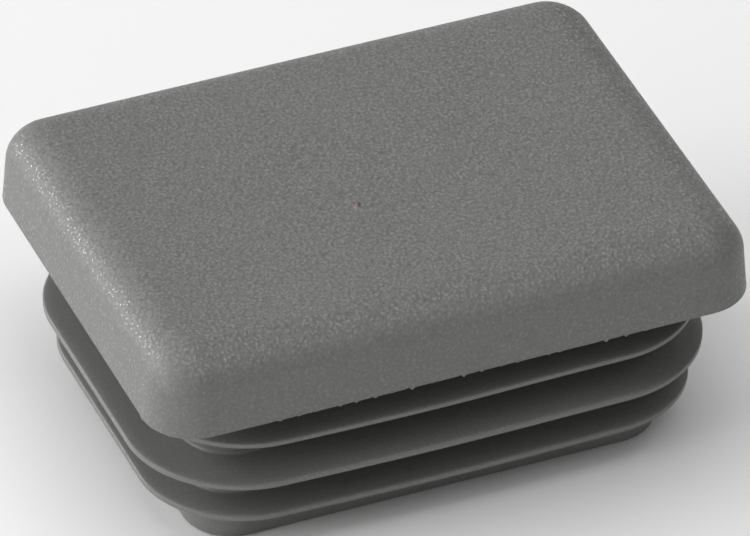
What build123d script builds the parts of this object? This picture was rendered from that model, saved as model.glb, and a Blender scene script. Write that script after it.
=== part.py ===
"""Rectangular tube end cap: one moulding with a round-edged head and a finned hollow plug.

Frame: the origin is the centre of the seat, the flat underside of the head that meets
the end of the tube. +Z points out of the tube, +X along the cap's long side.
"""

import os
from math import radians, tan

from build123d import *

# Head, the part that stays outside the tube and covers its end, in millimetres
head_length = 40.0
head_width = 30.0
head_height = 5.2           # from the seat to the flat top
head_corner_radius = 3.3    # upright corners, at the seat
head_draft = 3.0            # degrees, the sides lean inwards towards the top
head_edge_radius = 2.75     # rounding between the sides and the top

# Core of the plug, which widens a little towards the seat
core_inset = 4.2            # from the head's side to the core's wall, at its open end
core_depth = 11.9           # from the seat to the open end
core_corner_radius = 3.3
core_draft = 1.0            # degrees
core_lead_in = 0.3          # chamfer round the open end

# Hollow inside the core, open at the bottom and blind under the head's skin
core_wall = 1.8             # at the open end
head_skin = 2.0
hollow_corner_radius = 1.6
hollow_draft = 1.0          # degrees, the hollow narrows towards its blind end
hollow_end_chamfer = 0.8    # at the blind end

# Fins round the core: how far each rim stands in from the head's side, and its corner
# radius. The last fin is the smallest, so that it starts the plug into the tube.
fin_end_insets = (1.5, 0.92, 1.75)    # at the short sides
fin_side_insets = (0.91, 0.76, 1.58)  # at the middle of the long sides
fin_corner_radii = (7.0, 7.4, 6.6)
first_fin_depth = 2.87      # from the seat to the first rim's lower edge
fin_pitch = 3.06
fin_rim = 0.4               # thickness at the rim
fin_root = 0.95             # thickness at the core
fin_bow = 0.46              # how far a rim's long sides bulge past straight lines
root_bow = 0.02             # the same at the root, which follows the core's wall
root_sink = 0.5             # how far a fin's root runs into the core's wall

os.makedirs("parts", exist_ok=True)


def outline_size(inset):
    """Length and width of a rectangle that stands in from the head's side."""
    return head_length - 2 * inset, head_width - 2 * inset


def core_inset_at(depth):
    """How far the core's drafted wall stands in from the head's side at a depth."""
    return core_inset - (core_depth - depth) * tan(radians(core_draft))


def barrel_outline(height, end_inset, side_inset, corner_radius, bow):
    """Face at a height: straight short sides, bowed long sides and rounded corners."""
    end_x = head_length / 2 - end_inset
    crest_y = head_width / 2 - side_inset
    corner_y = crest_y - bow
    with BuildSketch(Plane.XY.offset(height)) as outline:
        with BuildLine():
            ThreePointArc((-end_x, -corner_y), (0, -crest_y), (end_x, -corner_y))
            Line((end_x, -corner_y), (end_x, corner_y))
            ThreePointArc((end_x, corner_y), (0, crest_y), (-end_x, corner_y))
            Line((-end_x, corner_y), (-end_x, -corner_y))
        make_face()
        fillet(outline.vertices(), radius=corner_radius)
    return outline.sketch


def make_fin(lower_edge, end_inset, side_inset, corner_radius):
    """One fin: a thin upright rim with a flank above and one below, thicker at the root."""
    upper_edge = lower_edge + fin_rim
    flare = (fin_root - fin_rim) / 2
    root_inset = core_inset_at(-lower_edge) + root_sink
    with BuildPart() as fin:
        extrude(
            barrel_outline(lower_edge, end_inset, side_inset, corner_radius, fin_bow),
            amount=fin_rim,
        )
        for rim_height, root_height in (
            (upper_edge, upper_edge + flare),
            (lower_edge, lower_edge - flare),
        ):
            rim = barrel_outline(rim_height, end_inset, side_inset, corner_radius, fin_bow)
            root = barrel_outline(
                root_height, root_inset, root_inset, core_corner_radius, root_bow
            )
            loft([rim, root])
    return fin.part


with BuildPart() as hollow:
    with BuildSketch(Plane.XY.offset(-core_depth)):
        RectangleRounded(*outline_size(core_inset + core_wall), hollow_corner_radius)
    extrude(amount=core_depth + head_height - head_skin, taper=hollow_draft)
    chamfer(hollow.faces().sort_by(Axis.Z)[-1].edges(), length=hollow_end_chamfer)

with BuildPart() as end_cap:
    # Head, standing on the seat
    with BuildSketch():
        RectangleRounded(head_length, head_width, head_corner_radius)
    extrude(amount=head_height, taper=head_draft)
    fillet(end_cap.faces().sort_by(Axis.Z)[-1].edges(), radius=head_edge_radius)

    # Core, from the seat down to its open end
    with BuildSketch():
        RectangleRounded(*outline_size(core_inset_at(0)), core_corner_radius)
    extrude(amount=-core_depth, taper=core_draft)
    chamfer(end_cap.faces().sort_by(Axis.Z)[0].edges(), length=core_lead_in)

    # Fins, one pitch apart from the first one down
    for index, sizes in enumerate(zip(fin_end_insets, fin_side_insets, fin_corner_radii)):
        add(make_fin(-first_fin_depth - index * fin_pitch, *sizes))

    # The hollow is cut last, through the core and the fins' roots
    add(hollow.part, mode=Mode.SUBTRACT)

end_cap.part.label = "end_cap"
export_step(end_cap.part, "parts/end_cap.step")
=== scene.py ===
"""Dresses the rectangular tube end cap: one grey moulding that stands on a pale table.

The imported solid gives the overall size. The visible surface is worked out here as one
closed grid: a profile that runs from the middle of the head's top, over its round edge,
down the seat and the finned plug, round the open end and up inside the hollow, carried
round a rounded rectangle whose sides and corners change along the profile.
"""

import logging
import math
from dataclasses import dataclass, field
from enum import Enum

import bpy
import numpy as np
from mathutils import Matrix, Vector


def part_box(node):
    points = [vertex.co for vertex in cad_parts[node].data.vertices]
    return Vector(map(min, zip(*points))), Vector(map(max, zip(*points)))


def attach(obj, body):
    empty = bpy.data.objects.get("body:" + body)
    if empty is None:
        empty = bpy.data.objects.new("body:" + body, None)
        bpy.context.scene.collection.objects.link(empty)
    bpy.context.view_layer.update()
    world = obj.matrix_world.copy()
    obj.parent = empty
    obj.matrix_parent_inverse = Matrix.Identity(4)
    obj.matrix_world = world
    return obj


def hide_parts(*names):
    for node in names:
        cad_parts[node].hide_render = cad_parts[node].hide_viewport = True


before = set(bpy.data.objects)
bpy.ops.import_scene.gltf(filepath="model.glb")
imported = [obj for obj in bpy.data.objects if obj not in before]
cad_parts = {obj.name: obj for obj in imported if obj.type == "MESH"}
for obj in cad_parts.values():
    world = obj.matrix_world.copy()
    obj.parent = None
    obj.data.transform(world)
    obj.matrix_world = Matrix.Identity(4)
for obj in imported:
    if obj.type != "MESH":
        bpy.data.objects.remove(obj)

log = logging.getLogger("end_cap")

NODE = "end_cap"
BODY = "root"
MM = 0.001
GRAIN_MASK = "sparked"

Socket = bpy.types.NodeSocket
Value = Socket | float

# What one station of the profile holds, lengths in mm: how far it stands in from the
# head's side, its height over the seat, how much further it stands in at the short sides,
# the plan's corner radius, the bulge of the long sides, the grain's weight, the weight of
# the fins' sway, how far a fin is bent up at one place, the flash's weight, and the share
# of the plan's size, which is below 1 only near the two poles.
COLUMNS = ("inset", "height", "narrow", "corner", "bow", "grain", "flex", "rise", "flash", "share")
DEFAULTS = {"share": 1.0}


class Finish(Enum):
    """The two textures of the mould, as the weight of the head's grain."""

    SPARKED = 1.0
    POLISHED = 0.0


def stretch(**columns: float | np.ndarray) -> np.ndarray:
    """Stations of one stretch of the profile.

    Args:
        columns: Values by column name, each a number or an array; arrays share a length.

    Returns:
        Array with one row for each station and the columns of COLUMNS.
    """
    count = max(np.size(value) for value in columns.values())
    rows = [
        np.broadcast_to(np.asarray(columns.get(name, DEFAULTS.get(name, 0.0)), float), (count,))
        for name in COLUMNS
    ]
    return np.stack(rows, axis=1)


def soften(knots: np.ndarray, reach: np.ndarray, steps: int, guard: float) -> np.ndarray:
    """Rounds a run of stations at its inner knots.

    Each inner knot P gives way to the curve (1-t)^2 A + 2t(1-t) P + t^2 B, where A and B
    lie on its two legs at its reaches. A guard station a little further out on each leg
    keeps the shading of the flat stretches flat.

    Args:
        knots: Stations to run through, one row each.
        reach: For each inner knot, how far its rounding reaches back and on, in mm.
        steps: Stations on each curve.
        guard: Distance of the guard stations beyond A and B, in mm.

    Returns:
        The rounded stations, with the first and last knot kept.
    """
    before = knots[:-2] - knots[1:-1]
    after = knots[2:] - knots[1:-1]
    length_before = np.hypot(before[:, 0], before[:, 1])[:, None]
    length_after = np.hypot(after[:, 0], after[:, 1])[:, None]
    back, on = reach[:, :1], reach[:, 1:]
    t = np.linspace(0.0, 1.0, steps)[None, :, None]
    inner = knots[1:-1]
    start = inner + before * back / length_before
    end = inner + after * on / length_after
    curve = (1 - t) ** 2 * start[:, None] + 2 * t * (1 - t) * inner[:, None] + t**2 * end[:, None]
    guard_in = inner + before * (back + guard) / length_before
    guard_out = inner + after * (on + guard) / length_after
    rows = np.concatenate([guard_in[:, None], curve, guard_out[:, None]], axis=1)
    return np.concatenate([knots[:1], rows.reshape(-1, knots.shape[1]), knots[-1:]])


@dataclass(frozen=True)
class Plan:
    """Points round a rounded rectangle, counter-clockwise from above.

    They lie closer together at the marks, which are places on the front side from -1 at
    its left end to 1 at its right, and round the front left corner.
    """

    marks: tuple[float, ...]
    front_points: int = 110
    back_points: int = 60
    side_points: int = 56
    corner_points: int = 16
    near_corner_points: int = 56
    mark_points: int = 7
    mark_reach: float = 0.017
    place_digits: int = 4

    def front_places(self) -> np.ndarray:
        """Places along the front side, even but for clusters at the marks.

        Returns:
            The places in order, from -1 at the left end to 1 at the right.
        """
        even = np.linspace(-1.0, 1.0, self.front_points, endpoint=False)
        cluster = np.linspace(-self.mark_reach, self.mark_reach, self.mark_points)
        close = np.array(self.marks)[:, None] + cluster
        places = np.concatenate([even, close.ravel()])
        return np.unique(np.round(places, self.place_digits))

    def weights(self) -> tuple[np.ndarray, np.ndarray, np.ndarray]:
        """Weights of the points.

        A point lies at (sx (a - r) + r cos q, sy (b - r) + r sin q), for half sizes a and
        b and corner radius r. Along a side q is fixed and one of sx, sy runs from one
        corner to the next; round a corner both are fixed and q turns a quarter.

        Returns:
            Arrays sx, sy and q, one value a point.
        """
        quarter = math.pi / 2
        ends = np.array([(1, 1), (-1, 1), (-1, -1), (1, -1)], float)
        front = len(ends) - 1
        pieces = []
        for turn, count in enumerate((self.side_points, self.back_points, self.side_points, 0)):
            along = np.linspace(0.0, 1.0, count, endpoint=False)
            if turn == front:
                along = (self.front_places() + 1.0) / 2.0
            side = ends[turn - 1] + (ends[turn] - ends[turn - 1]) * along[:, None]
            near = turn == front - 1
            bends = self.near_corner_points if near else self.corner_points
            bend = np.linspace(0.0, 1.0, bends, endpoint=False)
            pieces.append(np.column_stack([side, np.full(len(side), turn * quarter)]))
            corner = np.broadcast_to(ends[turn], (bends, 2))
            pieces.append(np.column_stack([corner, (turn + bend) * quarter]))
        sx, sy, angle = np.concatenate(pieces).T
        return sx, sy, angle


@dataclass
class Head:
    """The head: a dished top, an oval round edge, drafted sides and the seat under it."""

    height: float
    corner_radius: float = 3.29
    side_height: float = 2.73
    side_lean: float = 0.21
    round_inset: float = 3.07
    least_corner: float = 0.35
    dish: float = 0.03
    top_rings: int = 10
    round_steps: int = 18
    side_steps: int = 5
    lip: float = 0.02
    lip_height: float = 0.16
    seat_reach: tuple[float, float] = (0.05, 0.05)
    top_share: float = 0.08
    side_grain: float = 0.53

    def corner_at(self, inset: np.ndarray) -> np.ndarray:
        """Corner radius of the outline at an inset, as an offset of the seat's outline."""
        return np.maximum(self.corner_radius - inset, self.least_corner)

    def stations(self) -> np.ndarray:
        """Stations from the middle of the top to the start of the seat.

        The top is dished by d (1 - s^2)^2, for the share s of the way out. The round edge
        is a quarter of an ellipse: inset = lean + e (1 - cos t) and height = side + f sin
        t, for t from a right angle down to zero. The grain is full on the top and
        shallower on the drafted sides, as a mould lets go of it, and turns from one to the
        other with cos^2 t.

        Returns:
            The stations in order.
        """
        grain = Finish.SPARKED.value
        share = np.linspace(self.top_share, 1.0, self.top_rings, endpoint=False)
        full_inset = self.side_lean + self.round_inset
        top = stretch(
            inset=full_inset,
            height=self.height - self.dish * (1 - share**2) ** 2,
            corner=self.corner_at(np.array([full_inset])),
            grain=grain,
            share=share,
        )
        t = np.linspace(math.pi / 2, 0.0, self.round_steps)
        inset = self.side_lean + self.round_inset * (1 - np.cos(t))
        rise = self.height - self.side_height
        edge = stretch(
            inset=inset,
            height=self.side_height + rise * np.sin(t),
            corner=self.corner_at(inset),
            grain=grain - (grain - self.side_grain) * np.cos(t) ** 2,
        )
        down = np.linspace(1.0, 0.0, self.side_steps + 1)[1:-1]
        side_inset = self.side_lean * down
        side = stretch(
            inset=side_inset,
            height=self.side_height * down,
            corner=self.corner_at(side_inset),
            grain=self.side_grain,
        )
        return np.concatenate([top, edge, side])

    def seat_knots(self, margin: float) -> np.ndarray:
        """Knots where the side flares into a thin lip, at the lip, and inside it.

        Args:
            margin: How far inside the head's side the last knot lies.

        Returns:
            The three knots.
        """
        foot = self.side_lean * self.lip_height / self.side_height
        return stretch(
            inset=np.array([foot, -self.lip, margin]),
            height=np.array([self.lip_height, 0.0, 0.0]),
            corner=self.corner_radius - np.array([foot, -self.lip, 0.0]),
            grain=np.array([self.side_grain, self.side_grain, Finish.POLISHED.value]),
            flash=np.array([0.0, 1.0, 0.0]),
        )


@dataclass
class Plug:
    """The plug under the seat: a drafted core with three fins, open at its lower end."""

    depth: float
    core_inset: float = 4.2
    core_corner: float = 3.2
    core_lean: float = 0.2
    lead_in: float = 0.12
    fin_end_insets: tuple[float, ...] = (1.5, 0.92, 1.75)
    fin_side_insets: tuple[float, ...] = (0.91, 0.76, 1.58)
    fin_corners: tuple[float, ...] = (7.0, 7.4, 6.6)
    first_fin: float = 2.87
    fin_pitch: float = 3.06
    rim: float = 0.4
    root: float = 0.95
    bow: float = 0.46
    root_bow: float = 0.02
    root_reach: tuple[float, float] = (0.2, 0.2)
    nose_reach: tuple[float, float] = (0.7, 0.12)
    fin_rises: tuple[float, ...] = (0.12, 0.05, 0.025)
    edge_reach: tuple[float, float] = (0.04, 0.05)

    def inset_at(self, depth: float) -> float:
        """How far the leaning core stands in at a depth under the seat."""
        return self.core_inset - self.core_lean * (1 - depth / self.depth)

    def fin_knots(self, index: int) -> tuple[np.ndarray, np.ndarray]:
        """Knots and their reaches for one fin, from its root down to its root.

        The upper flank rolls over into the upright rim, whose lower edge is crisp.

        Args:
            index: Number of the fin, counted down from 0.

        Returns:
            The knots, and a reach back and on for each.
        """
        low = -(self.first_fin + index * self.fin_pitch)
        high = low + self.rim
        flare = (self.root - self.rim) / 2
        root = self.inset_at(-low)
        rim, corner = self.fin_side_insets[index], self.fin_corners[index]
        narrow = self.fin_end_insets[index] - rim
        knots = stretch(
            inset=np.array([root, rim, rim, root]),
            narrow=np.array([0.0, narrow, narrow, 0.0]),
            height=np.array([high + flare, high, low, low - flare]),
            corner=np.array([self.core_corner, corner, corner, self.core_corner]),
            bow=np.array([self.root_bow, self.bow, self.bow, self.root_bow]),
            flex=np.array([0.0, 1.0, 1.0, 0.0]),
            rise=np.array([0.0, 1.0, 1.0, 0.0]) * self.fin_rises[index],
        )
        reach = np.array([self.root_reach, self.nose_reach, self.edge_reach, self.root_reach])
        return knots, reach

    def knots(self) -> tuple[np.ndarray, np.ndarray]:
        """Knots from the core's root at the seat to its lead-in.

        Returns:
            The knots, and a reach back and on for each.
        """
        parts = [stretch(inset=self.inset_at(0.0), height=0.0, corner=self.core_corner)]
        reaches = [np.array([self.root_reach])]
        for index in range(len(self.fin_corners)):
            fin, reach = self.fin_knots(index)
            parts.append(fin)
            reaches.append(reach)
        parts.append(
            stretch(
                inset=np.array([self.core_inset, self.core_inset + self.lead_in]),
                height=np.array([-self.depth + self.lead_in, -self.depth]),
                corner=np.array([self.core_corner, self.core_corner - self.lead_in]),
            )
        )
        reaches.append(np.array([self.edge_reach, self.edge_reach]))
        return np.concatenate(parts), np.concatenate(reaches)


@dataclass
class Hollow:
    """The hollow in the plug, from its mouth to its blind end under the head's skin."""

    mouth_height: float
    end_height: float
    inset: float = 6.0
    corner: float = 1.6
    lean: float = 0.26
    mouth_reach: tuple[float, float] = (0.06, 0.06)
    end_reach: tuple[float, float] = (0.9, 0.9)
    end_rings: int = 5
    end_margin: float = 1.2
    end_corner: float = 0.4
    end_share: float = 0.1

    def knots(self) -> tuple[np.ndarray, np.ndarray]:
        """Knots at the mouth and at the blind end's edge.

        Returns:
            The knots, and a reach back and on for each.
        """
        knots = stretch(
            inset=np.array([self.inset, self.inset + self.lean]),
            height=np.array([self.mouth_height, self.end_height]),
            corner=np.array([self.corner, self.corner]),
        )
        return knots, np.array([self.mouth_reach, self.end_reach])

    def end_stations(self) -> np.ndarray:
        """Stations of the flat blind end, from a margin inside its edge to its middle."""
        return stretch(
            inset=self.inset + self.lean + self.end_margin,
            height=self.end_height,
            corner=self.end_corner,
            share=np.linspace(1.0, self.end_share, self.end_rings),
        )


@dataclass
class SeatFlash:
    """Ragged flash along the head's lower edge, where the mould parts: a nick and a tag each.

    Each row is a mark on the seat's outline: its x and y, the tag's width and its drop, in
    mm. The front ones leave out their y, which is the front side's.
    """

    front: tuple[tuple[float, float, float], ...] = (
        (-12.25, 0.12, 0.07), (-11.0, 0.1, 0.06), (-9.9, 0.08, 0.04), (-8.29, 0.1, 0.07),
        (-7.23, 0.11, 0.08), (-5.96, 0.12, 0.09), (-4.9, 0.08, 0.04), (-3.54, 0.14, 0.12),
        (-2.2, 0.08, 0.04), (-0.12, 0.11, 0.13), (1.1, 0.1, 0.07), (2.4, 0.08, 0.04),
        (3.5, 0.1, 0.06), (5.55, 0.1, 0.06), (6.3, 0.1, 0.06), (9.4, 0.13, 0.12),
        (10.75, 0.11, 0.1), (12.1, 0.09, 0.04),
    )
    corner: tuple[tuple[float, float, float, float], ...] = (
        (-20.0, -11.73, 0.13, 0.07), (-19.13, -13.94, 0.12, 0.035), (-18.54, -14.44, 0.11, 0.04),
    )
    nick: float = 0.55
    nick_shift: float = 1.7
    turn_out: float = 0.7

    def marks(self, front_y: float) -> np.ndarray:
        """All marks, the front ones first.

        Args:
            front_y: Place of the front side, which the front marks lie on.

        Returns:
            One row a mark, as the class says.
        """
        front = np.array(self.front)
        on_front = np.insert(front, 1, front_y, axis=1)
        return np.concatenate([on_front, np.array(self.corner)])

    def drop(self, x: np.ndarray, y: np.ndarray, angle: np.ndarray, front_y: float) -> np.ndarray:
        """How far the flash hangs under the seat's edge, less than zero in a nick.

        With u the way along the outline from a mark, in tag widths, and v the way across
        it in mm: the sum of d exp(-v^2) (exp(-u^2) - n exp(-(u + s)^2)) over the marks.

        Args:
            x: Places along the head, in mm.
            y: Places across the head, in mm.
            angle: Direction in which the outline faces.
            front_y: Place of the front side.

        Returns:
            Drop in mm at each point.
        """
        mark_x, mark_y, width, drop = self.marks(front_y).T
        away_x, away_y = x[..., None] - mark_x, y[..., None] - mark_y
        facing_x, facing_y = np.cos(angle)[..., None], np.sin(angle)[..., None]
        along = (away_y * facing_x - away_x * facing_y) / width
        across = away_x * facing_x + away_y * facing_y
        tag = np.exp(-(along**2)) - self.nick * np.exp(-((along + self.nick_shift) ** 2))
        return (drop * np.exp(-(across**2)) * tag).sum(axis=-1)


@dataclass
class FinSway:
    """Small unevenness of the thin fins: they sag, wave, and are bent up a little in front."""

    sag: float = 0.03
    rise_place: float = 6.5
    rise_reach: float = 6.0
    wave: float = 0.012
    phases: tuple[float, ...] = (0.4, 2.1, 3.7)

    def lift(self, across: np.ndarray, turn: np.ndarray) -> np.ndarray:
        """Change of height at a rim: -s (1 - (x/a)^2), and three slow waves round it.

        Wave k, from 0, is w / (k + 1) high and has k + 2 crests.

        Args:
            across: Place along the cap, x/a, from -1 to 1.
            turn: Direction of the place from the cap's middle.

        Returns:
            Height in mm at each point.
        """
        waves = sum(
            np.sin((k + 2) * turn + phase) / (k + 1) for k, phase in enumerate(self.phases)
        )
        return -self.sag * (1 - across**2) + self.wave * waves

    def rise(self, x: np.ndarray, angle: np.ndarray) -> np.ndarray:
        """Weight of the bend, exp(-((x - p) / w)^2) on the front side and 0 behind."""
        front = np.clip(-np.sin(angle), 0.0, 1.0)
        return front * np.exp(-(((x - self.rise_place) / self.rise_reach) ** 2))


@dataclass(frozen=True)
class SparkGrain:
    """Spark-eroded grain of the head: fine pits and peaks that catch the light.

    Its height is l + r N - f D, for the level l, a noise N and its rise r, and the
    distance D to the nearest point of a cell pattern and its fall f. Peaks are the spots
    higher than peak_start, in full from peak_full on. Lengths are in metres.
    """

    cell: float = 0.0002
    level: float = 0.325
    lump_rise: float = 0.8
    lump_detail: float = 1.0
    pit_fall: float = 0.75
    pit_rate: float = 0.9
    pit_smoothness: float = 0.6
    peak_start: float = 0.5
    peak_full: float = 0.6
    depth: float = 0.000046
    roughness: float = 0.6
    roughness_swing: float = 0.42
    # The next four values paint shade and highlight into the base colour: darker in the grain's pits,
    # paler on its peaks.
    relief_shade_swing: float = 0.34
    mid_height: float = 0.35
    peak_highlight_tone: float = 0.28
    peak_share: float = 0.25


@dataclass(frozen=True)
class SatinSkin:
    """Smooth satin skin of the fins and the core, with a faint waviness and a faint painted grain
    shading.

    Its tone is a share of the head's painted grain shading, painted shade in the pits and painted
    highlight on the peaks, in colour alone. Lengths are in metres.
    """

    cell: float = 0.0009
    detail: float = 2.0
    depth: float = 0.000004
    roughness: float = 0.42
    grain_shading_share: float = 0.25


@dataclass(frozen=True)
class Fleck:
    """A small round speck of another colour in the top, placed in mm."""

    colour: tuple[float, float, float]
    place: tuple[float, float]
    radius: float
    strength: float = 1.0


@dataclass(frozen=True)
class GreyPlastic:
    """The one grey plastic that the cap is moulded in, with a reddish fleck in its top."""

    colour: tuple[float, float, float] = (0.165, 0.165, 0.158)
    mottle: float = 0.05
    mottle_cell: float = 0.006
    mottle_detail: float = 3.0
    flecks: tuple[Fleck, ...] = (
        Fleck((0.13, 0.178, 0.162), (-1.64, -2.9), 0.2, 0.7),
        Fleck((0.28, 0.25, 0.245), (-2.4, -2.97), 0.17, 0.9),
        Fleck((0.27, 0.19, 0.19), (-2.26, -2.8), 0.19),
        Fleck((0.09, 0.05, 0.058), (-2.1, -2.88), 0.17),
        Fleck((0.09, 0.05, 0.058), (-2.02, -2.68), 0.17),
    )
    head: SparkGrain = field(default_factory=SparkGrain)
    plug: SatinSkin = field(default_factory=SatinSkin)


def new_group(name: str, inputs: dict[str, float], outputs: tuple[str, ...]) -> bpy.types.NodeTree:
    """Empty shader node group with number sockets.

    Args:
        name: The group's name.
        inputs: Input sockets with their default values.
        outputs: Output sockets.

    Returns:
        The group's tree, with its input and output nodes made.
    """
    tree = bpy.data.node_groups.new(name, "ShaderNodeTree")
    for label, value in inputs.items():
        socket = tree.interface.new_socket(label, in_out="INPUT", socket_type="NodeSocketFloat")
        socket.default_value = value
    for label in outputs:
        tree.interface.new_socket(label, in_out="OUTPUT", socket_type="NodeSocketFloat")
    tree.nodes.new("NodeGroupInput")
    tree.nodes.new("NodeGroupOutput")
    return tree


def feed(tree: bpy.types.NodeTree, entry: Socket, value: Value) -> None:
    """Links a node's input to a socket, or sets it to a number.

    Args:
        tree: Tree of the node.
        entry: The input.
        value: Socket or number for it.
    """
    if isinstance(value, Socket):
        tree.links.new(value, entry)
    else:
        entry.default_value = value


def add_math(
    tree: bpy.types.NodeTree, operation: str, first: Value, second: Value, third: Value = 0.0
) -> Socket:
    """Adds a Math node.

    Args:
        tree: Tree to add it to.
        operation: The node's operation on a, b and c, such as MULTIPLY_ADD for a b + c.
        first: Socket or number for a.
        second: Socket or number for b.
        third: Socket or number for c, where the operation has one.

    Returns:
        The node's result.
    """
    node = tree.nodes.new("ShaderNodeMath")
    node.operation = operation
    for entry, value in zip(node.inputs, (first, second, third)):
        feed(tree, entry, value)
    return node.outputs[0]


def add_noise(tree: bpy.types.NodeTree, scale: Value, detail: float) -> Socket:
    """Adds a Noise Texture on Object coordinates.

    Args:
        tree: Tree to add it to.
        scale: Lumps to the metre, as a socket or a number.
        detail: How many finer layers the noise has.

    Returns:
        The noise, from 0 to 1.
    """
    place = tree.nodes.new("ShaderNodeTexCoord")
    noise = tree.nodes.new("ShaderNodeTexNoise")
    tree.links.new(place.outputs["Object"], noise.inputs["Vector"])
    feed(tree, noise.inputs["Scale"], scale)
    noise.inputs["Detail"].default_value = detail
    return noise.outputs["Fac"]


def add_slope(
    tree: bpy.types.NodeTree, value: Socket, start: float, full: float, most: float = 1.0
) -> Socket:
    """Adds a Map Range node: 0 at the start, the most at full, and level beyond both.

    Args:
        tree: Tree to add it to.
        value: Socket to map.
        start: Value that gives 0.
        full: Value that gives the most.
        most: The largest result.

    Returns:
        The mapped value.
    """
    slope = tree.nodes.new("ShaderNodeMapRange")
    slope.inputs["From Min"].default_value = start
    slope.inputs["From Max"].default_value = full
    slope.inputs["To Max"].default_value = most
    tree.links.new(value, slope.inputs["Value"])
    return slope.outputs["Result"]


def grain_group(grain: SparkGrain) -> bpy.types.NodeTree:
    """Group for a spark-eroded grain.

    Args:
        grain: The grain, whose docstring gives the formula of its height.

    Returns:
        Group with the input Cell and the outputs Height and Peak.
    """
    tree = new_group("moulded_grain", {"Cell": grain.cell}, ("Height", "Peak"))
    source = tree.nodes["Group Input"].outputs["Cell"]
    sink = tree.nodes["Group Output"]
    scale = add_math(tree, "DIVIDE", 1.0, source)
    noise = add_noise(tree, scale, grain.lump_detail)
    lumps = add_math(tree, "MULTIPLY_ADD", noise, grain.lump_rise, grain.level)
    place = tree.nodes.new("ShaderNodeTexCoord")
    cells = tree.nodes.new("ShaderNodeTexVoronoi")
    cells.feature = "SMOOTH_F1"
    cells.inputs["Smoothness"].default_value = grain.pit_smoothness
    tree.links.new(place.outputs["Object"], cells.inputs["Vector"])
    tree.links.new(add_math(tree, "MULTIPLY", scale, grain.pit_rate), cells.inputs["Scale"])
    height = add_math(tree, "MULTIPLY_ADD", cells.outputs["Distance"], -grain.pit_fall, lumps)
    tree.links.new(height, sink.inputs["Height"])
    tree.links.new(add_slope(tree, height, grain.peak_start, grain.peak_full), sink.inputs["Peak"])
    return tree


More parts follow.
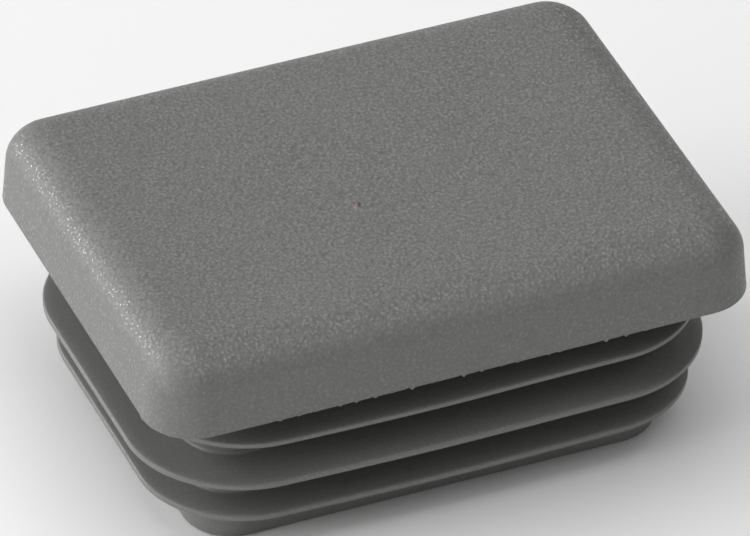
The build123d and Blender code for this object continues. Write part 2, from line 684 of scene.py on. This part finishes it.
class PlasticDresser:
    """Builds the node material of the cap from its finish."""

    def __init__(self, finish: GreyPlastic, top: float) -> None:
        """Starts the material, with the mask of the sparked surface and the grain.

        Args:
            finish: The plastic and its two textures.
            top: Height of the head's top in metres, where the flecks lie.
        """
        self.finish = finish
        self.top = top
        self.material = bpy.data.materials.new("moulded_grey_plastic")
        self.material.use_nodes = True
        self.tree = self.material.node_tree
        self.shader = self.tree.nodes["Principled BSDF"]
        sparked = self.tree.nodes.new("ShaderNodeAttribute")
        sparked.attribute_name = GRAIN_MASK
        self.mask = sparked.outputs["Fac"]
        grain = self.tree.nodes.new("ShaderNodeGroup")
        grain.node_tree = grain_group(finish.head)
        grain.inputs["Cell"].default_value = finish.head.cell
        self.height = grain.outputs["Height"]
        self.peak = grain.outputs["Peak"]

    def calculate(self, operation: str, first: Value, second: Value, third: Value = 0.0) -> Socket:
        """Adds a Math node to the material, as add_math does."""
        return add_math(self.tree, operation, first, second, third)

    def build(self) -> bpy.types.Material:
        """Links the colour, the roughness and the relief.

        Returns:
            The finished material.
        """
        self.link_colour()
        self.link_roughness()
        self.link_relief()
        return self.material

    def link_colour(self) -> None:
        """Links the base colour: slow mottle, painted shade in the grain's pits and painted highlight
        on its peaks, and the flecks.

        The grey is multiplied by m + s (2 w (h - h0) + p (k - k0)), for the slow mottle m, the share s
        of the painted grain shading, its height h round the mid height h0 with the swing w, and the
        peaks k round their usual share k0 with the painted highlight p. The share is the plug's, and
        rises with the square of the mask to 1.
        """
        finish, head = self.finish, self.finish.head
        slow = add_noise(self.tree, 1.0 / finish.mottle_cell, finish.mottle_detail)
        mottle = self.calculate("MULTIPLY_ADD", slow, 2 * finish.mottle, 1.0 - finish.mottle)
        swing = 2 * head.relief_shade_swing
        even = -swing * head.mid_height - head.peak_highlight_tone * head.peak_share
        # Painted shade in the grain's pits and painted highlight on its peaks.
        painted_relief_shading = self.calculate("MULTIPLY_ADD", self.height, swing, even)
        painted_relief_shading = self.calculate("MULTIPLY_ADD", self.peak, head.peak_highlight_tone, painted_relief_shading)
        # The plug keeps this share of the grain's painted shade and highlight.
        least = finish.plug.grain_shading_share
        grip = self.calculate("MULTIPLY", self.mask, self.mask)
        share = self.calculate("MULTIPLY_ADD", grip, 1.0 - least, least)
        grey = self.tree.nodes.new("ShaderNodeMix")
        grey.data_type = "RGBA"
        grey.blend_type = "MULTIPLY"
        grey.inputs["Factor"].default_value = 1.0
        grey.inputs["A"].default_value = (*finish.colour, 1.0)
        self.tree.links.new(self.calculate("MULTIPLY_ADD", share, painted_relief_shading, mottle), grey.inputs["B"])

        colour = grey.outputs["Result"]
        for fleck in finish.flecks:
            colour = self.add_fleck(colour, fleck)
        self.tree.links.new(colour, self.shader.inputs["Base Color"])

    def add_fleck(self, colour: Socket, fleck: Fleck) -> Socket:
        """Lays a fleck over a colour: full inside half its radius, gone at its radius.

        Args:
            colour: The colour under it.
            fleck: The fleck.

        Returns:
            The colour with the fleck in it.
        """
        place = self.tree.nodes.new("ShaderNodeTexCoord")
        away = self.tree.nodes.new("ShaderNodeVectorMath")
        away.operation = "DISTANCE"
        away.inputs[1].default_value = (fleck.place[0] * MM, fleck.place[1] * MM, self.top)
        self.tree.links.new(place.outputs["Object"], away.inputs[0])
        reach = fleck.radius * MM
        spot = add_slope(self.tree, away.outputs["Value"], reach, reach / 2, fleck.strength)
        mix = self.tree.nodes.new("ShaderNodeMix")
        mix.data_type = "RGBA"
        mix.inputs["B"].default_value = (*fleck.colour, 1.0)
        self.tree.links.new(spot, mix.inputs["Factor"])
        self.tree.links.new(colour, mix.inputs["A"])
        return mix.outputs["Result"]

    def link_roughness(self) -> None:
        """Links the roughness: satin on the plug, rougher on the head with glossier peaks."""
        head, plug = self.finish.head, self.finish.plug
        rough = self.calculate("MULTIPLY_ADD", self.peak, -head.roughness_swing, head.roughness)
        step = self.calculate("SUBTRACT", rough, plug.roughness)
        mixed = self.calculate("MULTIPLY_ADD", self.mask, step, plug.roughness)
        self.tree.links.new(mixed, self.shader.inputs["Roughness"])

    def link_relief(self) -> None:
        """Links the bump: the head's grain and the plug's faint waviness, in metres."""
        head, plug = self.finish.head, self.finish.plug
        skin = add_noise(self.tree, 1.0 / plug.cell, plug.detail)
        grained = self.calculate("MULTIPLY", self.height, self.mask)
        raised = self.calculate("MULTIPLY", grained, head.depth)
        bump = self.tree.nodes.new("ShaderNodeBump")
        bump.inputs["Strength"].default_value = 1.0
        bump.inputs["Distance"].default_value = 1.0
        relief = self.calculate("MULTIPLY_ADD", skin, plug.depth, raised)
        self.tree.links.new(relief, bump.inputs["Height"])
        self.tree.links.new(bump.outputs["Normal"], self.shader.inputs["Normal"])


@dataclass
class EndCap:
    """The whole cap: it puts the stretches together and makes the closed mesh, in mm."""

    half_length: float
    half_width: float
    height: float
    depth: float
    skin: float = 2.0
    steps: int = 5
    guard: float = 0.02
    seat_margin: float = 0.5
    flash: SeatFlash = field(default_factory=SeatFlash)
    sway: FinSway = field(default_factory=FinSway)
    finish: GreyPlastic = field(default_factory=GreyPlastic)

    def profile(self) -> np.ndarray:
        """All stations from the middle of the top to the middle of the blind end.

        Returns:
            The stations in order, rounded at the knots.
        """
        head = Head(self.height)
        plug = Plug(self.depth)
        hollow = Hollow(-self.depth, self.height - self.skin)
        upper = head.stations()
        plug_knots, plug_reach = plug.knots()
        mouth_knots, mouth_reach = hollow.knots()
        ends = hollow.end_stations()
        seat = head.seat_knots(self.seat_margin)
        knots = np.concatenate([upper[-1:], seat, plug_knots, mouth_knots, ends[:1]])
        seat_reach = np.array([head.seat_reach] * len(seat))
        reach = np.concatenate([seat_reach, plug_reach, mouth_reach])
        return np.concatenate([upper[:-1], soften(knots, reach, self.steps, self.guard), ends[1:]])

    def surface(self, stations: np.ndarray) -> np.ndarray:
        """Carries the profile round the plan.

        A point lies where the plan puts it, for the half sizes and the corner radius of
        its station. Then y grows by -w (x/a)^2 (y/b), which leaves a bulge of w in the
        long sides, and the fins' sway and bend and the flash move it up, down and out.

        Args:
            stations: Stations of the profile, in order.

        Returns:
            Points in mm, shaped stations by plan points by three.
        """
        straight = self.half_length - Head(self.height).corner_radius
        plan = Plan(tuple(mark[0] / straight for mark in self.flash.front))
        sx, sy, angle = plan.weights()
        column = {name: stations[:, [i]] for i, name in enumerate(COLUMNS)}
        share = column["share"]
        a = (self.half_length - column["inset"] - column["narrow"]) * share
        b = (self.half_width - column["inset"]) * share
        r = column["corner"] * share
        x = sx * (a - r) + r * np.cos(angle)
        y = sy * (b - r) + r * np.sin(angle)
        across, along = x / a, y / b
        y = y - column["bow"] * across**2 * along
        z = np.broadcast_to(column["height"], x.shape).copy()
        z += column["flex"] * self.sway.lift(across, np.arctan2(y, x))
        z += column["rise"] * self.sway.rise(x, angle)
        drop = column["flash"] * self.flash.drop(x, y, angle, -self.half_width)
        out = self.flash.turn_out * np.maximum(drop, 0.0)
        return np.stack([x + out * np.cos(angle), y + out * np.sin(angle), z - drop], axis=-1)

    def faces(self, rings: int, around: int) -> tuple[np.ndarray, np.ndarray]:
        """Quads between the rings and the triangles that close both poles.

        Args:
            rings: How many stations the grid has.
            around: How many points each has.

        Returns:
            Arrays of vertex numbers, four a row and three a row; the poles come last.
        """
        ring = np.arange(rings - 1)[:, None] * around
        here = np.arange(around)[None, :]
        following = (here + 1) % around
        quads = np.stack(
            [ring + here, ring + around + here, ring + around + following, ring + following],
            axis=-1,
        ).reshape(-1, 4)
        j = np.arange(around)
        k = (j + 1) % around
        top_pole, end_pole = rings * around, rings * around + 1
        last = (rings - 1) * around
        cap = np.stack([np.full(around, top_pole), j, k], axis=-1)
        end = np.stack([last + j, np.full(around, end_pole), last + k], axis=-1)
        return quads, np.concatenate([cap, end])

    def mesh(self) -> bpy.types.Mesh:
        """The closed mesh in metres, with the attribute that says where the grain is.

        Returns:
            The mesh, smooth all over.
        """
        stations = self.profile()
        grid = self.surface(stations)
        rings, around = grid.shape[:2]
        poles = np.stack([grid[0].mean(axis=0), grid[-1].mean(axis=0)])
        points = np.concatenate([grid.reshape(-1, 3), poles]) * MM
        quads, triangles = self.faces(rings, around)
        mesh = bpy.data.meshes.new("end_cap_skin")
        mesh.vertices.add(len(points))
        mesh.vertices.foreach_set("co", points.ravel())
        mesh.loops.add(quads.size + triangles.size)
        mesh.loops.foreach_set("vertex_index", np.concatenate([quads.ravel(), triangles.ravel()]))
        mesh.polygons.add(len(quads) + len(triangles))
        quad_starts = np.arange(len(quads)) * quads.shape[1]
        triangle_starts = quads.size + np.arange(len(triangles)) * triangles.shape[1]
        starts = np.concatenate([quad_starts, triangle_starts])
        mesh.polygons.foreach_set("loop_start", starts)
        mesh.polygons.foreach_set("use_smooth", np.ones(len(starts), bool))
        mesh.update(calc_edges=True)
        grain = np.repeat(stations[:, COLUMNS.index("grain")], around)
        sparked = mesh.attributes.new(GRAIN_MASK, "FLOAT", "POINT")
        sparked.data.foreach_set("value", np.concatenate([grain, grain[:1], grain[-1:]]))
        return mesh

    def build(self) -> bpy.types.Object:
        """Makes the cap's object, dresses it and lets it stand for the node.

        Returns:
            The object.
        """
        cap = bpy.data.objects.new("end_cap_moulding", self.mesh())
        bpy.context.scene.collection.objects.link(cap)
        cap.data.materials.append(PlasticDresser(self.finish, self.height * MM).build())
        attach(cap, BODY)
        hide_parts(NODE)
        log.info("%s: %d vertices, %d faces", cap.name, len(cap.data.vertices), len(cap.data.polygons))
        return cap


@dataclass
class Softbox:
    """One soft light: its direction from the cap, distance, size and power."""

    name: str
    direction: tuple[float, float, float]
    distance: float
    size: float
    power: float

    def build(self) -> bpy.types.Object:
        """Makes the area light, aimed at the cap.

        Returns:
            The light's object.
        """
        data = bpy.data.lights.new(self.name, "AREA")
        data.shape = "SQUARE"
        data.size = self.size
        data.energy = self.power
        lamp = bpy.data.objects.new(self.name, data)
        away = Vector(self.direction).normalized()
        lamp.location = away * self.distance
        lamp.rotation_mode = "QUATERNION"
        lamp.rotation_quaternion = (-away).to_track_quat("-Z", "Y")
        bpy.context.scene.collection.objects.link(lamp)
        return lamp


@dataclass
class Studio:
    """The pale table, the soft lights and the camera at the photograph's angle.

    Lights and table are in metres, the camera's place, lens and sensor in mm.
    """

    table_height: float
    table_size: float = 6.0
    table_tone: float = 0.9
    table_roughness: float = 0.7
    sky: float = 0.21
    softboxes: tuple[Softbox, ...] = (
        Softbox("low_left_light", (-1.0, -0.05, 0.12), 0.7, 0.5, 2.76),
        Softbox("back_left_light", (-0.6, 0.74, 0.3), 0.7, 0.22, 2.25),
        Softbox("high_left_light", (-0.8, 0.1, 0.6), 0.7, 0.5, 1.3),
        Softbox("overhead_light", (0.0, 0.0, 1.0), 0.7, 0.6, 1.81),
        Softbox("front_light", (0.1, -0.75, 0.75), 0.8, 0.5, 0.15),
        Softbox("high_front_light", (0.1, -0.42, 0.9), 0.8, 0.5, 0.95),
        Softbox("back_right_light", (0.6, 0.75, 0.35), 0.7, 0.4, 0.3),
    )
    azimuth: float = -22.577
    elevation: float = 36.872
    roll: float = 0.392
    aim: tuple[float, float, float] = (-0.259, -1.057, -1.434)
    camera_distance: float = 701.96
    lens: float = 540.16
    sensor: float = 36.0
    clip: tuple[float, float] = (0.01, 10.0)

    def table(self) -> bpy.types.Object:
        """Makes the flat table top that the cap stands on.

        Returns:
            The table's object.
        """
        half = self.table_size / 2
        corners = [(-half, -half), (half, -half), (half, half), (-half, half)]
        mesh = bpy.data.meshes.new("table")
        mesh.from_pydata([(x, y, self.table_height) for x, y in corners], [], [(0, 1, 2, 3)])
        material = bpy.data.materials.new("pale_table")
        material.use_nodes = True
        shader = material.node_tree.nodes["Principled BSDF"]
        shader.inputs["Base Color"].default_value = (*(self.table_tone,) * 3, 1.0)
        shader.inputs["Roughness"].default_value = self.table_roughness
        mesh.materials.append(material)
        table = bpy.data.objects.new("table", mesh)
        bpy.context.scene.collection.objects.link(table)
        return table

    def surroundings(self) -> None:
        """Makes an even white sky all round."""
        world = bpy.data.worlds.new("studio")
        world.use_nodes = True
        background = world.node_tree.nodes["Background"]
        background.inputs["Color"].default_value = (1.0, 1.0, 1.0, 1.0)
        background.inputs["Strength"].default_value = self.sky
        bpy.context.scene.world = world

    def camera(self) -> bpy.types.Object:
        """Makes the camera, level but for a slight roll, looking at the aim point.

        Returns:
            The camera's object.
        """
        turn, rise = math.radians(-self.azimuth), math.radians(self.elevation)
        forward = Vector(
            (math.sin(turn) * math.cos(rise), math.cos(turn) * math.cos(rise), -math.sin(rise))
        )
        level = forward.cross(Vector((0.0, 0.0, 1.0))).normalized()
        right = Matrix.Rotation(math.radians(-self.roll), 3, forward) @ level
        up = right.cross(forward)
        data = bpy.data.cameras.new("camera")
        data.lens, data.sensor_width = self.lens, self.sensor
        data.clip_start, data.clip_end = self.clip
        camera = bpy.data.objects.new("camera", data)
        basis = Matrix((right, up, -forward)).transposed()
        place = Vector(self.aim) * MM - forward * (self.camera_distance * MM)
        camera.matrix_world = Matrix.Translation(place) @ basis.to_4x4()
        bpy.context.scene.collection.objects.link(camera)
        bpy.context.scene.camera = camera
        return camera

    def build(self) -> None:
        """Sets up the table, the sky, the lights and the camera, with plain colours."""
        bpy.context.scene.view_settings.view_transform = "Standard"
        self.surroundings()
        self.table()
        for softbox in self.softboxes:
            softbox.build()
        self.camera()
        log.info("studio ready, table at %.4f m", self.table_height)


def main() -> None:
    """Builds the studio and the cap from the corners of the imported part."""
    logging.basicConfig(level=logging.INFO, format="%(name)s: %(message)s")
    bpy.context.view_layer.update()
    low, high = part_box(NODE)
    Studio(low.z).build()
    EndCap(high.x / MM, high.y / MM, high.z / MM, -low.z / MM).build()


if __name__ == "__main__":
    main()
